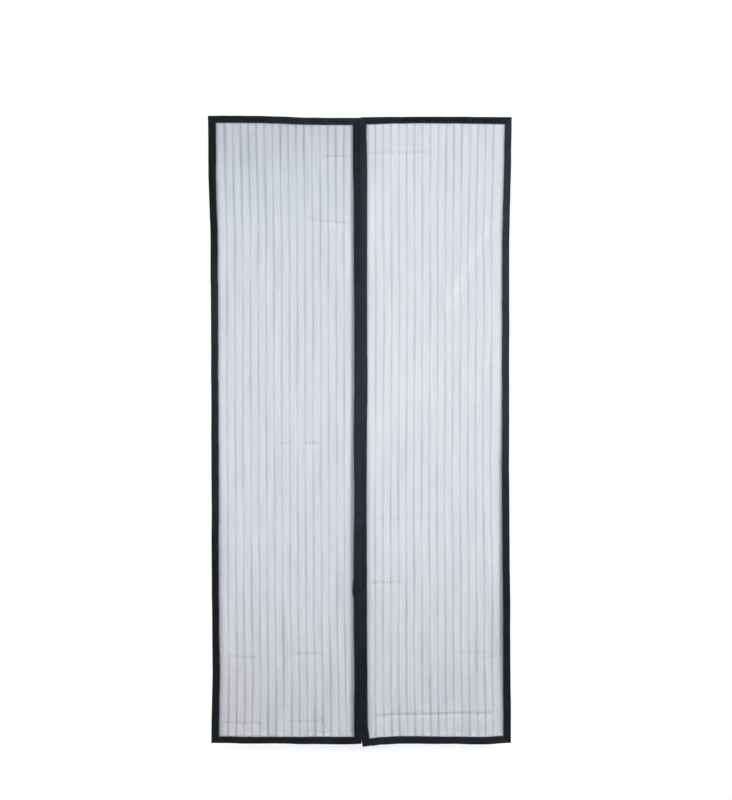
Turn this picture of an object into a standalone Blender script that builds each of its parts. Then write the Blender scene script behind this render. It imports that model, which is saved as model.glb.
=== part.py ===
"""Door insect screen: two striped net panels that hang side by side in a doorway.

Each panel is bound on all four sides in folded tape. Magnet strips inside the two closing
bindings pull the panels together down the middle, and fixing strips on the back of the top
and side bindings hold them to the frame. Metres, +Z up. The front faces -Y. The origin is on
the floor, below the line where the panels meet.

A panel is laid out flat and then hung. In the flat layout "across" runs from the outer side
edge to the closing edge, "up" runs from the bottom edge to the top, and "depth" runs to the
wall behind.
"""

from collections import namedtuple

import bmesh
import bpy
import numpy as np

# Both panels
PANEL_WIDTH = 0.500
PANEL_HEIGHT = 2.100
CLOSING_GAP = 0.0006
HEM_HEIGHT = 0.010
CLEARANCE = 0.0003
NET_CLEARANCE = 0.0004

# Net: a thin wall with a thick woven stripe and, beside it, rows of open gaps
NET_THICKNESS = 0.0008
STRIPE_THICKNESS = 0.0018
STRIPE_WIDTH = 0.004
STRIPE_PITCH = 0.026
STRIPE_TO_BINDING = 0.020
NET_GAP_WIDTH = 0.003
NET_GAP_LENGTH = 0.205
NET_GAP_SPACING = 0.135
NET_PLAIN_END = 0.084
NET_INSET = 0.002

# Binding tape, folded lengthwise over the net's edge
TAPE_THICKNESS = 0.0006
TAPE_WIDTH = 0.0235
FOLD_BEVEL = 0.0005
MITRE_GAP = 0.0005

# Magnet strips in the closing bindings
MAGNET_WIDTH = 0.010
MAGNET_THICKNESS = 0.0016
MAGNET_LENGTH = 0.180
MAGNET_SPACING = 0.020
MAGNET_TO_BINDING = 0.015
POCKET_SLOPE = 0.0015

# Fixing strips on the back of the top and side bindings
FIXING_WIDTH = 0.020
FIXING_THICKNESS = 0.0012
FIXING_INSET = 0.002

# Stations: the cloth bends only at these lines, so pieces that lie on each other bend alike
BORDER_MARGIN = 0.004
STRIPES_PER_STATION = 3

# How far the closing edges and the field of the net hang out of the plane of the frame
CLOSING_SWAY = 0.004
FOLD_DEPTH = 0.004
FOLDS_ACROSS = 1.5

# What differs between the panels. A closing binding is its magnet pocket and a sewn margin,
# and the first stripe is counted from it. Each edge is a short list of (share of the way along the
# edge, metres that it stands out from the straight edge), and cloth runs smoothly between.
# Side and closing edges count from the bottom and outwards, top and bottom edges from the
# outer side and upwards.
Panel = namedtuple(
    "Panel",
    "name direction sewn_margin first_stripe side_edge closing_edge top_edge bottom_edge fold_start",
)

LEFT = Panel(
    name="left",
    direction=-1,
    sewn_margin=0.013,
    first_stripe=0.031,
    side_edge=[
        (0, 0), (0.13, -0.0038), (0.28, -0.0008), (0.6, 0.0005),
        (0.78, 0.003), (0.93, 0.0102), (1, 0.0115),
    ],
    closing_edge=[(0, 0.0005), (0.04, 0)],
    top_edge=[(0, 0.003), (0.25, 0.0027), (0.65, -0.004), (1, -0.004)],
    bottom_edge=[(0, 0.0015), (0.5, 0.001), (0.68, -0.002), (0.93, -0.002), (1, -0.001)],
    fold_start=0.0,
)

RIGHT = Panel(
    name="right",
    direction=1,
    sewn_margin=0.008,
    first_stripe=0.026,
    side_edge=[
        (0, 0.003), (0.15, -0.0005), (0.45, -0.0055),
        (0.8, -0.0045), (0.93, 0.0015), (1, 0.0035),
    ],
    closing_edge=[(0, 0.0045), (0.04, 0.0005), (0.14, 0)],
    top_edge=[(0, -0.0025), (0.3, -0.001), (0.75, -0.001), (1, -0.0025)],
    bottom_edge=[
        (0, 0.003), (0.2, -0.002), (0.4, -0.0005), (0.75, 0),
        (0.87, -0.0033), (0.94, -0.007), (1, -0.01),
    ],
    fold_start=0.35,
)

# Half depths, from the middle of the net to the middle of each tape leg
NET_LEG_DEPTH = NET_THICKNESS / 2 + NET_CLEARANCE + TAPE_THICKNESS / 2
POCKET_LEG_DEPTH = MAGNET_THICKNESS / 2 + CLEARANCE + TAPE_THICKNESS / 2
BACK_OF_TAPE = NET_LEG_DEPTH + TAPE_THICKNESS / 2
FIXING_DEPTH = BACK_OF_TAPE + CLEARANCE + FIXING_THICKNESS / 2
MAGNET_INSET = TAPE_THICKNESS + FOLD_BEVEL / 2 + CLEARANCE
POCKET_WIDTH = MAGNET_INSET + MAGNET_WIDTH + CLEARANCE

COLOURS = {
    "net": ((0.62, 0.66, 0.72), 0.85),
    "binding": ((0.020, 0.023, 0.027), 0.80),
    "magnet": ((0.030, 0.028, 0.026), 0.55),
    "fixing": ((0.015, 0.015, 0.016), 0.95),
}


def clear_scene():
    for item in list(bpy.data.objects):
        bpy.data.objects.remove(item, do_unlink=True)


def through(points, share):
    """Runs smoothly from each point to the next, level at every point."""
    places, values = np.array(points, float).T
    share = np.clip(share, places[0], places[-1])
    step = np.clip(np.searchsorted(places, share, side="right") - 1, 0, len(places) - 2)
    part = (share - places[step]) / (places[step + 1] - places[step])
    return values[step] + (values[step + 1] - values[step]) * part * part * (3 - 2 * part)


def closing_width(panel):
    return POCKET_WIDTH + POCKET_SLOPE + panel.sewn_margin


def border():
    """How far the cloth stays flat from its edges: the widest binding and a little more."""
    return max(TAPE_WIDTH, closing_width(LEFT), closing_width(RIGHT)) + BORDER_MARGIN


def net_gap_rows():
    """The bottom and top of each row of gaps, spread evenly up the net."""
    room = PANEL_HEIGHT - 2 * NET_PLAIN_END
    count = max(1, int((room + NET_GAP_SPACING) / (NET_GAP_LENGTH + NET_GAP_SPACING)))
    starts = np.linspace(NET_PLAIN_END, PANEL_HEIGHT - NET_PLAIN_END - NET_GAP_LENGTH, count)
    return [(start, start + NET_GAP_LENGTH) for start in starts]


def stations_up():
    inner = [height for row in net_gap_rows() for height in row]
    return np.array([0, *inner, PANEL_HEIGHT])


def stripe_places(panel):
    """Where the woven stripes lie across the panel, from the outer side to the closing edge."""
    first = PANEL_WIDTH - closing_width(panel) - panel.first_stripe
    count = int((first - TAPE_WIDTH - STRIPE_TO_BINDING) / STRIPE_PITCH) + 1
    return [first - k * STRIPE_PITCH for k in reversed(range(count))]


def stations_across(panel):
    """The borders and every few stripes."""
    stripes = stripe_places(panel)[1::STRIPES_PER_STATION]
    near, far = border(), PANEL_WIDTH - border()
    inner = [stripe for stripe in stripes if near + STRIPE_WIDTH < stripe < far - STRIPE_WIDTH]
    return np.array([0, near, *inner, far, PANEL_WIDTH])


def shift(panel, across, up):
    """How far the hung cloth lies outwards, back and up from its flat place."""
    share_across, share_up = across / PANEL_WIDTH, up / PANEL_HEIGHT
    side, closing = through(panel.side_edge, share_up), through(panel.closing_edge, share_up)
    outwards = side + (closing - side) * share_across
    bottom, top = through(panel.bottom_edge, share_across), through(panel.top_edge, share_across)
    rise = bottom + (top - bottom) * share_up

    # The side and top borders are held flat; the rest bellies, more towards the bottom
    field = np.clip((across - border()) / (PANEL_WIDTH - border()), 0, 1)
    fall = np.clip(1 - up / (PANEL_HEIGHT - NET_PLAIN_END), 0, 1)
    sway = CLOSING_SWAY * np.sin(2 * np.pi * fall) * field**2
    waves = np.sin(2 * np.pi * (FOLDS_ACROSS * field + panel.fold_start))
    folds = FOLD_DEPTH * fall**0.7 * np.sin(np.pi * field) * waves
    return outwards, sway + folds, rise


def hang(panel, across, up, depth):
    """Puts points of the flat panel where they hang, in the frame of the panel's empty.

    The shift is worked out at the stations and runs straight between them both ways.
    """
    columns, rows = stations_across(panel), stations_up()
    shifts = shift(panel, *np.meshgrid(columns, rows, indexing="ij"))
    i = np.clip(np.searchsorted(columns, across, side="right") - 1, 0, len(columns) - 2)
    j = np.clip(np.searchsorted(rows, up, side="right") - 1, 0, len(rows) - 2)
    s = (across - columns[i]) / (columns[i + 1] - columns[i])
    t = (up - rows[j]) / (rows[j + 1] - rows[j])
    outwards, back, rise = (
        (1 - s) * ((1 - t) * d[i, j] + t * d[i, j + 1])
        + s * ((1 - t) * d[i + 1, j] + t * d[i + 1, j + 1])
        for d in shifts
    )
    x = panel.direction * (PANEL_WIDTH - across + outwards)
    return np.stack([x, depth + back, up + rise], axis=-1)


def grid_sheet(columns, rows):
    """A grid as (bmesh, vertex table): vertex [i][j] is for columns[i] and rows[j]."""
    bm = bmesh.new()
    across, along = len(columns) - 1, len(rows) - 1
    bmesh.ops.create_grid(bm, x_segments=across, y_segments=along, size=0.5)
    bm.verts.index_update()
    table = [[None] * len(rows) for _ in columns]
    for vertex in bm.verts:
        i, j = round((vertex.co.x + 0.5) * across), round((vertex.co.y + 0.5) * along)
        table[i][j] = vertex
    return bm, table


def place_sheet(table, points):
    for column, places in zip(table, points):
        for vertex, place in zip(column, places):
            vertex.co = place


def material_for(name, kind):
    colour, roughness = COLOURS[kind]
    material = bpy.data.materials.new(name)
    material.use_nodes = True
    shader = material.node_tree.nodes["Principled BSDF"]
    shader.inputs["Base Color"].default_value = (*colour, 1)
    shader.inputs["Roughness"].default_value = roughness
    shader.inputs["Metallic"].default_value = 0
    return material


def finish_piece(bm, name, kind, thickness, panel_empty, collection):
    """Turns a sheet into an object of the given thickness, half on each side of the sheet."""
    mesh = bpy.data.meshes.new(name)
    bm.to_mesh(mesh)
    bm.free()
    mesh.shade_smooth()
    mesh.set_sharp_from_angle(angle=np.radians(40))
    piece = bpy.data.objects.new(name, mesh)
    piece.data.materials.append(material_for(name, kind))
    piece.parent = panel_empty
    collection.objects.link(piece)
    wall = piece.modifiers.new("Wall", "SOLIDIFY")
    wall.thickness = thickness
    wall.offset = 0
    wall.use_even_offset = True
    return piece


def cuts_between(stations, start, end):
    """A strip's ends with the stations that it crosses."""
    margin = CLEARANCE
    inner = [s for s in stations if start + margin < s < end - margin]
    return [start, *inner, end]


def flat_strip(panel, name, kind, across, up, depth, thickness, empty, collection):
    """A strip of even thickness, from across[0] to across[1] and from up[0] to up[1]."""
    columns = cuts_between(stations_across(panel), *across)
    rows = cuts_between(stations_up(), *up)
    bm, table = grid_sheet(columns, rows)
    u, v = np.meshgrid(columns, rows, indexing="ij")
    place_sheet(table, hang(panel, u, v, np.full(u.shape, depth)))
    return finish_piece(bm, name, kind, thickness, empty, collection)


def net_gap_columns(panel):
    """The two sides of each column of gaps, beside its stripe."""
    feet = [stripe + STRIPE_WIDTH / 2 for stripe in stripe_places(panel)]
    return [(foot, foot + NET_GAP_WIDTH) for foot in feet]


def inside(value, spans):
    return any(low < value < high for low, high in spans)


def make_net(panel, empty, collection):
    """The net: thick at each stripe's crest, with a column of gaps beside each stripe."""
    stripes, gap_columns, gap_rows = stripe_places(panel), net_gap_columns(panel), net_gap_rows()
    feet = [stripe - STRIPE_WIDTH / 2 for stripe in stripes]
    gap_sides = [side for column in gap_columns for side in column]
    borders = [NET_INSET, border(), PANEL_WIDTH - border(), PANEL_WIDTH - POCKET_WIDTH]
    columns = sorted({*borders, *feet, *stripes, *gap_sides})
    rows = [NET_INSET, *stations_up()[1:-1], PANEL_HEIGHT - NET_INSET]
    bm, table = grid_sheet(columns, rows)
    crest_columns = [table[columns.index(stripe)] for stripe in stripes]
    crests = [vertex.index for column in crest_columns for vertex in column[1:-1]]

    gaps = []
    for i in range(len(columns) - 1):
        for j in range(len(rows) - 1):
            middle = (columns[i] + columns[i + 1]) / 2, (rows[j] + rows[j + 1]) / 2
            if inside(middle[0], gap_columns) and inside(middle[1], gap_rows):
                corners = table[i][j], table[i + 1][j], table[i + 1][j + 1], table[i][j + 1]
                gaps.append(bm.faces.get(corners))
    bmesh.ops.delete(bm, geom=gaps, context="FACES_ONLY")
    u, v = np.meshgrid(columns, rows, indexing="ij")
    place_sheet(table, hang(panel, u, v, np.zeros(u.shape)))

    net = finish_piece(bm, f"{panel.name}_net", "net", STRIPE_THICKNESS, empty, collection)
    group = net.vertex_groups.new(name="Stripe crests")
    group.add(crests, 1, "REPLACE")
    wall = net.modifiers["Wall"]
    wall.vertex_group = group.name
    wall.thickness_vertex_group = NET_THICKNESS / STRIPE_THICKNESS
    wall.use_even_offset = False
    return net


def fold_section(width, leg_depth, pocket_width=0, pocket_depth=0):
    """Middle line of a tape folded in half, as (inwards from the fold's edge, depth).

    A pocket is the stretch next to the fold where the legs stand further apart.
    """
    half = TAPE_THICKNESS / 2
    fold_depth = pocket_depth or leg_depth
    front = [(width, -leg_depth)]
    if pocket_width:
        front += [(pocket_width + POCKET_SLOPE, -leg_depth), (pocket_width, -fold_depth)]
    front += [(half + FOLD_BEVEL, -fold_depth), (half, -fold_depth + FOLD_BEVEL)]
    return front + [(inwards, -depth) for inwards, depth in reversed(front)]


def make_binding(panel, edge, section, length, mitres, to_flat, stations, empty, collection):
    """A folded tape along one edge of the panel, with its ends mitred to its neighbours.

    mitres are the widths of the tapes at the start and the end, and to_flat turns
    (along, inwards) into (across, up).
    """
    inwards, depth = np.array(section, float).T
    slope = inwards / inwards.max()
    inner = [s for s in stations if max(mitres) < s < length - max(mitres)]
    starts = MITRE_GAP + slope * mitres[0]
    ends = length - MITRE_GAP - slope * mitres[1]
    along = np.column_stack([starts, *(np.full(len(section), s) for s in inner), ends])
    bm, table = grid_sheet(section, range(along.shape[1]))
    across, up = to_flat(along, inwards[:, None] + np.zeros(along.shape))
    place_sheet(table, hang(panel, across, up, depth[:, None] + np.zeros(along.shape)))
    return finish_piece(bm, f"{panel.name}_{edge}_binding", "binding", TAPE_THICKNESS, empty, collection)


def make_bindings(panel, empty, collection):
    plain = fold_section(TAPE_WIDTH, NET_LEG_DEPTH)
    pocket = fold_section(closing_width(panel), NET_LEG_DEPTH, POCKET_WIDTH, POCKET_LEG_DEPTH)
    level_mitres = (TAPE_WIDTH, closing_width(panel))
    upright_mitres = (TAPE_WIDTH, TAPE_WIDTH)
    edges = [
        ("top", plain, PANEL_WIDTH, level_mitres, lambda s, w: (s, PANEL_HEIGHT - w)),
        ("bottom", plain, PANEL_WIDTH, level_mitres, lambda s, w: (s, w)),
        ("side", plain, PANEL_HEIGHT, upright_mitres, lambda s, w: (w, s)),
        ("closing", pocket, PANEL_HEIGHT, upright_mitres, lambda s, w: (PANEL_WIDTH - w, s)),
    ]
    for edge, section, length, mitres, to_flat in edges:
        stations = stations_across(panel) if edge in ("top", "bottom") else stations_up()
        make_binding(panel, edge, section, length, mitres, to_flat, stations, empty, collection)


def make_magnets(panel, empty, collection):
    """Flexible magnet strips in the pocket of the closing binding, spread evenly up it."""
    lowest = TAPE_WIDTH + MAGNET_TO_BINDING
    room = PANEL_HEIGHT - 2 * lowest
    count = max(1, int((room + MAGNET_SPACING) / (MAGNET_LENGTH + MAGNET_SPACING)))
    starts = np.linspace(lowest, PANEL_HEIGHT - lowest - MAGNET_LENGTH, count)
    inner = PANEL_WIDTH - MAGNET_INSET
    across = (inner - MAGNET_WIDTH, inner)
    for number, start in enumerate(starts, start=1):
        name = f"{panel.name}_magnet_{number:02d}"
        up = (start, start + MAGNET_LENGTH)
        flat_strip(panel, name, "magnet", across, up, 0, MAGNET_THICKNESS, empty, collection)


def make_fixing_strips(panel, empty, collection):
    """One strip along the top binding and one down the side binding, on their backs."""
    near, far = FIXING_INSET, FIXING_INSET + FIXING_WIDTH
    top_across = (near, PANEL_WIDTH - closing_width(panel) - FIXING_INSET)
    top_up = (PANEL_HEIGHT - far, PANEL_HEIGHT - near)
    side_up = (near, PANEL_HEIGHT - far - FIXING_INSET)
    places = [("top", top_across, top_up), ("side", (near, far), side_up)]
    for edge, across, up in places:
        name = f"{panel.name}_{edge}_fixing_strip"
        flat_strip(panel, name, "fixing", across, up, FIXING_DEPTH, FIXING_THICKNESS, empty, collection)


def make_panel(panel, collection):
    empty = bpy.data.objects.new(f"{panel.name}_panel", None)
    empty.location = (panel.direction * CLOSING_GAP / 2, 0, HEM_HEIGHT)
    collection.objects.link(empty)
    make_net(panel, empty, collection)
    make_bindings(panel, empty, collection)
    make_magnets(panel, empty, collection)
    make_fixing_strips(panel, empty, collection)


def main():
    clear_scene()
    collection = bpy.data.collections.new("door_insect_screen")
    bpy.context.scene.collection.children.link(collection)
    for panel in (LEFT, RIGHT):
        make_panel(panel, collection)


main()
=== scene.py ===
"""Door insect screen: the looks of two bound net panels, built around the packed CAD model.

Each panel is worked out as a flat cut first. In the flat cut "across" runs from the outer side
edge to the closing edge, "up" from the bottom edge to the top, and "depth" to the wall behind.
The function hang then puts flat points where the hung cloth has them, in metres, +Z up, with the
front facing -Y.
"""

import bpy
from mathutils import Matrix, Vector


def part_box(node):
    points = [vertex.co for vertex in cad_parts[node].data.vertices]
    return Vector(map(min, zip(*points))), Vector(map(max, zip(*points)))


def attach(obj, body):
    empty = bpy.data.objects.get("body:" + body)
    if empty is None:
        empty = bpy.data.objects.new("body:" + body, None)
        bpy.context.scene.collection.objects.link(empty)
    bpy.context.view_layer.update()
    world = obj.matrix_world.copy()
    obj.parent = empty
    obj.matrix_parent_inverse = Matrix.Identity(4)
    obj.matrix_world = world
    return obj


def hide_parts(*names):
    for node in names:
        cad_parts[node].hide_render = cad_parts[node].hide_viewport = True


bl_info = {
    "name": "Door Insect Screen",
    "version": (1, 0, 0),
    "blender": (4, 5, 0),
    "location": "View3D > Sidebar > Insect Screen",
    "description": "Builds two striped net panels with folded tape bindings for a doorway",
    "category": "Object",
}

from collections import namedtuple
from functools import partial

import bpy
import numpy as np
from bpy.props import FloatProperty, FloatVectorProperty, IntProperty, PointerProperty

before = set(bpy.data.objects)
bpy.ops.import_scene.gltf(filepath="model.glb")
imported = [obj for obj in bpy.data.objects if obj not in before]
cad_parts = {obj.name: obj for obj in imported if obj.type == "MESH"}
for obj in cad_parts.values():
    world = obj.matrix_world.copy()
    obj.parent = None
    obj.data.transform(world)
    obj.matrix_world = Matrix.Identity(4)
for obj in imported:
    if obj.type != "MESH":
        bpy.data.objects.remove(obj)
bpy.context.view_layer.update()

MM = 0.001

# What differs between the panels. Direction is -1 to the left of the doorway's middle and 1 to
# the right. First stripe is how far that stripe lies from the closing binding, fold start where
# in their wave the soft folds begin, and seed gives each panel its own unevenness. Each edge is
# a list of (share of the way along the edge, millimetres that it stands out from the straight).
# Side and closing edges count from the bottom and outwards, top and bottom edges from the outer
# side and upwards. Wider says in the same way how much wider each binding is sewn, and faded
# how much lighter its dye came out. How densely the net is woven, with painted shade in its
# changes over the height and between the panels, how much paler it is painted towards the
# closing edge as painted light, how strong its stripes are, how many millimetres they lean to
# the right at either side, how much painted shade darkens the net beside the upright bindings
# and how dusty it is are lists over the height. Dusty corner is how much dustier the lower
# outer corner is. Creases are those that packing left in the net. Slack lists its slack folds,
# each of them as (start across, start up, end across, end up).
Panel = namedtuple(
    "Panel",
    "name direction sewn_margin first_stripe side_edge closing_edge top_edge bottom_edge"
    " wider faded fold_start seed density thinner stripes side_lean closing_lean side_shade"
    " closing_shade dusty dusty_corner creases slack",
)

# A crease left by packing: its height, where it starts and ends across the panel, how much
# higher its closing end lies, and how sharp it is
Crease = namedtuple("Crease", "up start end rise sharpness")

LEFT = Panel(
    name="left",
    direction=-1,
    sewn_margin=0.013,
    first_stripe=0.031,
    side_edge=[
        (0, 1), (0.13, -2.6), (0.28, 0.2), (0.6, 1.8), (0.78, 3.8), (0.93, 11.2), (1, 12.8),
    ],
    closing_edge=[(0, -1.2), (0.007, -2.5), (0.03, -1.2), (0.08, 0)],
    top_edge=[(0, 3.5), (0.3, 3.3), (0.45, 1.5), (0.65, -3), (1, -3.5)],
    bottom_edge=[
        (0, 1.5), (0.1, 1.5), (0.28, -0.8), (0.45, 0.3), (0.62, -1.5), (0.8, -3), (0.93, -2.7),
        (1, -1),
    ],
    wider={
        "top": [(0, 0), (1, 0)],
        "bottom": [
            (0, -1.5), (0.1, -1.7), (0.27, -1), (0.43, -2), (0.6, 0), (0.77, 1), (0.9, 1.3),
            (1, 1),
        ],
        "side": [
            (0, 2), (0.1, 1.3), (0.2, -0.4), (0.3, 0), (0.44, 0.6), (0.6, -0.6), (0.77, 0.3),
            (0.87, 0), (0.94, 1.8), (1, 1.6),
        ],
        "closing": [
            (0, -1.3), (0.04, -2.2), (0.1, -4.2), (0.2, -1.8), (0.23, -2), (0.244, 2.2),
            (0.252, 2), (0.267, -1.6), (0.293, -1.3), (0.39, -4), (0.485, -2), (0.58, -4),
            (0.675, -4), (0.77, -2.5), (0.87, -2.2), (0.93, 0), (1, 0),
        ],
    },
    faded={
        "top": [(0, -0.5), (0.3, -0.25), (0.65, 0.05), (1, 0)],
        "bottom": [(0, -0.3), (1, -0.2)],
        "side": [(0, -0.3), (0.23, -0.5), (0.39, 0.08), (0.71, 0.2), (0.87, -0.4), (1, -0.3)],
        "closing": [(0.07, -0.35), (0.23, 0), (0.39, 0.35), (0.55, 0.5), (0.87, 0), (0.98, -0.25)],
    },
    fold_start=0.0,
    seed=11,
    density=[
        (0, 0.54), (0.2, 0.47), (0.36, 0.44), (0.55, 0.425), (0.8, 0.45), (0.9, 0.52), (1, 0.61),
    ],
    thinner=[(0, 0), (0.35, 0), (0.55, 0.02), (0.77, 0.04), (0.9, 0.06), (1, 0.07)],
    stripes=[(0, 1), (0.165, 1), (0.357, 0.84), (0.55, 0.98), (0.74, 1.08), (1, 1.14)],
    side_lean=[(0, 4), (0.2, 3.3), (0.55, 0.7), (0.88, 3.5), (1, 1)],
    closing_lean=[(0, 9.5), (0.06, 9), (0.25, 2.7), (1, 0)],
    side_shade=[(0, 0.34), (0.3, 0.34), (0.8, 0.36), (1, 0.32)],
    closing_shade=[(0, 0.42), (0.15, 0.42), (0.31, 0.52), (0.47, 0.6), (1, 0.6)],
    dusty=[(0.1, 0.6), (0.4, 0), (0.88, 0), (0.97, 0.3)],
    dusty_corner=0.5,
    creases=[
        Crease(1.972, 0.36, 0.49, 0.0, 1.0),
        Crease(1.754, 0.31, 0.48, -0.014, 0.9),
        Crease(1.009, 0.31, 0.36, 0.002, 1.5),
        Crease(1.007, 0.22, 0.27, 0.002, 0.85),
        Crease(0.304, 0.255, 0.375, 0.0, 0.8),
        Crease(0.290, 0.05, 0.145, 0.0, 0.8),
        Crease(0.077, 0.24, 0.38, 0.0, 0.55),
        Crease(0.071, 0.02, 0.17, 0.0, 0.6),
    ],
    slack=[],
)

RIGHT = Panel(
    name="right",
    direction=1,
    sewn_margin=0.008,
    first_stripe=0.026,
    side_edge=[(0, 2.5), (0.15, 0.2), (0.45, -3.8), (0.8, -3.3), (0.93, 2.7), (1, 4.5)],
    closing_edge=[(0, 5.5), (0.007, 2.5), (0.03, 1.2), (0.08, 0)],
    top_edge=[(0, -1.5), (0.3, 0), (0.75, 0), (1, -1.7)],
    bottom_edge=[(0, 2), (0.2, -3), (0.4, -1.2), (0.75, -1), (0.87, -3.7), (0.94, -7), (1, -10)],
    wider={
        "top": [
            (0, -0.5), (0.1, -0.7), (0.23, -1.3), (0.4, -2), (0.6, -2.3), (0.75, -2.3),
            (0.93, -0.3), (1, 0),
        ],
        "bottom": [(0, 0.3), (0.23, 1), (0.4, 0), (0.57, 0.7), (0.75, 1), (1, 1.3)],
        "side": [
            (0, 1.4), (0.07, 2), (0.15, 1), (0.3, 1), (0.39, 1.2), (0.485, 0.3), (0.675, 0.3),
            (0.77, 0), (0.87, -0.6), (1, -1),
        ],
        "closing": [
            (0, 5), (0.012, 3.5), (0.035, -0.5), (0.1, -0.7), (0.2, -2), (0.293, -2.4),
            (0.39, -3.4), (0.485, -2.4), (0.58, -0.4), (0.675, -1.7), (0.93, -1.7),
            (0.975, -4.2), (1, -4.2),
        ],
    },
    faded={
        "top": [(0, -0.15), (0.5, -0.3), (1, -0.1)],
        "bottom": [(0, 0), (0.5, -0.1), (1, -0.1)],
        "side": [(0.07, -0.25), (0.23, -0.15), (0.39, 0.16), (0.55, 0.6), (0.71, 0.65), (1, 0.4)],
        "closing": [(0.07, -0.2), (0.23, 0), (0.39, 0.25), (0.55, 0.6), (0.87, 0.55), (0.98, 0.1)],
    },
    fold_start=0.35,
    seed=23,
    density=[(0, 0.52), (0.2, 0.445), (0.36, 0.38), (0.55, 0.345), (0.8, 0.35), (1, 0.395)],
    thinner=[(0, 0), (1, 0)],
    stripes=[(0, 0.96), (0.165, 0.96), (0.36, 1.12), (0.55, 1.05), (0.74, 1), (0.9, 1.12)],
    side_lean=[(0, 3.5), (0.25, 3.3), (0.42, 0), (0.55, 1), (0.7, 3), (1, 4)],
    closing_lean=[(0, 3), (0.1, 0), (0.3, 0), (0.7, 5), (0.92, 0), (1, 0)],
    side_shade=[
        (0, 0.3), (0.07, 0.4), (0.2, 0.95), (0.3, 0.95), (0.4, 0.7), (0.63, 0.45), (0.79, 0.45),
        (0.9, 0.3), (1, 0.2),
    ],
    closing_shade=[(0, 0.22), (1, 0.22)],
    dusty=[(0.1, 0.6), (0.4, 0), (0.88, 0), (0.97, 0.1)],
    dusty_corner=0.0,
    creases=[
        Crease(1.982, 0.27, 0.50, 0.0, 0.75),
        Crease(0.756, 0.25, 0.45, 0.0, 0.45),
        Crease(0.543, 0.36, 0.49, 0.004, 1.05),
        Crease(0.308, 0.02, 0.20, 0.0, 0.6),
        Crease(0.293, 0.015, 0.11, -0.003, 1.0),
        Crease(0.1035, 0.04, 0.46, -0.008, 1.55),
        Crease(0.098, 0.42, 0.47, -0.002, 0.7),
    ],
    slack=[(0.02, 1.82, 0.25, 1.39)],
)

PANELS = (LEFT, RIGHT)


def linear(code):
    """A colour from its sRGB hex code, as linear red, green and blue."""
    parts = np.array([int(code[i:i + 2], 16) for i in (1, 3, 5)]) / 255
    bright = ((parts + 0.055) / 1.055) ** 2.4
    return tuple(float(c) for c in np.where(parts <= 0.04045, parts / 12.92, bright))


def metres(name, description, default):
    """A property that holds a length."""
    return FloatProperty(name=name, description=description, default=default, unit="LENGTH")


def watts(name, description, default):
    """A property that holds a light's power."""
    return FloatProperty(name=name, description=description, default=default, unit="POWER")


def tone(name, description, code):
    """A property that holds a colour, from its sRGB hex code."""
    return FloatVectorProperty(
        name=name, description=description, default=linear(code), subtype="COLOR", min=0, max=1
    )


class ScreenCut(bpy.types.PropertyGroup):
    """Sizes of the flat panels and how they hang."""

    panel_width: metres("Panel width", "Width of one panel laid flat", 0.500)
    panel_height: metres("Panel height", "Height of a panel laid flat", 2.100)
    closing_gap: metres("Closing gap", "Gap between the panels down the middle", 0.0006)
    hem_height: metres("Hem height", "Height of the bottom edge above the floor", 0.010)
    pocket_width: metres("Magnet pocket", "Width of the pocket that the magnets lie in", 0.01145)
    pocket_slope: metres("Pocket slope", "Width of the step down beside the pocket", 0.0015)
    border_margin: metres("Flat margin", "Cloth beside the widest binding that hangs flat", 0.004)
    plain_end: metres("Plain end", "Height at the top that hangs flat", 0.084)
    closing_sway: metres("Closing sway", "How far the closing edge swings to and fro", 0.004)
    fold_depth: metres("Fold depth", "Depth of the soft folds in the field of the net", 0.004)
    folds_across: FloatProperty(
        name="Folds across", description="Number of soft folds across one panel", default=1.5
    )
    edge_waver: metres("Edge waver", "How far the sewn edges waver from their line", 0.0006)


class NetLook(bpy.types.PropertyGroup):
    """Sizes and colours of the net."""

    thickness: metres("Net thickness", "Thickness of the woven net", 0.0005)
    rib_height: metres("Rib height", "How far a stripe's yarns stand out on each side", 0.00035)
    stripe_width: metres("Stripe width", "Width of a densely woven stripe", 0.004)
    stripe_pitch: metres("Stripe pitch", "Distance from stripe to stripe", 0.026)
    stripe_margin: metres("Stripe margin", "Least distance from a stripe to the side tape", 0.020)
    inset: metres("Inset", "How far the net's edge lies inside the panel's edge", 0.002)
    scallop: metres("Scallop", "Depth of the slack between one stripe and the next", 0.0009)
    thread_spacing: metres("Thread spacing", "Distance from thread to thread, both ways", 0.0012)
    row_step: metres("Row step", "Distance between the rows of the net's mesh", 0.0102)
    thread_colour: tone("Thread", "Colour of the net's thread", "#8192A8")
    # Also the greyer colour that painted shade gives the net
    dust_and_shade_colour: tone("Dusty thread", "Colour of the thread where it is dusty", "#7A7E89")
    stripe_colour: tone("Stripe yarn", "Colour of the thick yarns of a stripe", "#7F8B96")


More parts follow.
